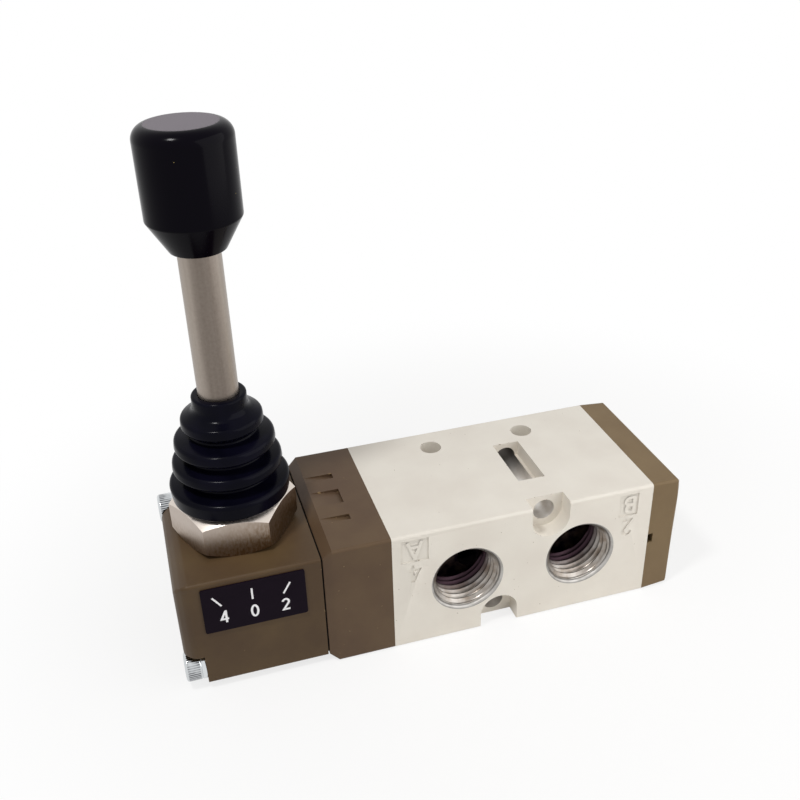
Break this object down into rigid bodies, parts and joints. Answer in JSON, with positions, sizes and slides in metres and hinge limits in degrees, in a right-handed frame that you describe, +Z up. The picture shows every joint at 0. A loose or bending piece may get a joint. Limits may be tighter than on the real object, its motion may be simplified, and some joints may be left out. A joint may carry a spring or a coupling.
{
  "type": "hand lever air valve",
  "caption": "Hand lever air valve: an upright lever on a ball joint slides a spool to switch air between threaded ports.",
  "frame": {"origin": "centre of the valve body's underside, the face that it rests or is mounted on", "axes": "+X along the body from the lever to the end cover, -Y out of the face with the two outlet ports, +Z up along the lever"},
  "size_m": [0.0976, 0.0324, 0.0986],
  "materials": {
    "ivory_paint": "smooth satin enamel on a die casting",
    "brown_paint": "fine matt enamel on a die casting",
    "bright_zinc": "bright plated",
    "spring_steel": "cold rolled strip",
    "machined_aluminium": "bare machined",
    "seal_rubber": "moulded nitrile",
    "hardened_steel": "ground",
    "gasket_board": "thin black gasket",
    "plate_film": "thin printed plate",
    "white_ink": "printed white marks",
    "acetal": "machined plastic",
    "nickel_plate": "satin nickel",
    "boot_rubber": "moulded, soft sheen",
    "stainless_steel": "turned and polished",
    "knob_plastic": "glossy moulded thermoset",
    "brass": "turned"
  },
  "bodies": {
    "root": {"valve_body": "ivory_paint", "adapter_block": "brown_paint", "adapter_screws": "bright_zinc", "detent_spring": "spring_steel", "housing_gasket": "gasket_board", "lever_housing": "brown_paint", "housing_screws": "bright_zinc", "spring_washers": "bright_zinc", "position_plate": "plate_film", "ball_seat": "acetal", "boot_bush": "nickel_plate", "boot": "boot_rubber", "end_cover": "brown_paint", "cover_screws": "bright_zinc"},
    "lever": {"lever_rod": "stainless_steel", "pivot_ball": "hardened_steel", "cross_pin": "hardened_steel", "tip_ball": "hardened_steel", "knob": "knob_plastic", "knob_insert": "brass"},
    "spool": {"spool": "machined_aluminium", "spool_seals": "seal_rubber", "drive_yoke": "machined_aluminium", "yoke_pin": "hardened_steel"}
  },
  "joints": [
    {"name": "lever_swing", "type": "hinge", "parent": "root", "child": "lever", "pos_m": [-0.05175, 0, 0.0245], "axis": [0, 1, 0], "range_deg": [-15, 15], "deforming": ["boot"]},
    {"name": "spool_slide", "type": "slide", "parent": "root", "child": "spool", "axis": [1, 0, 0], "range_m": [-0.003, 0.003], "deforming": ["detent_spring"]}
  ],
  "couplings": [
    {"joint": "spool_slide", "follows": "lever_swing", "m_per_rad": -0.0114}
  ]
}
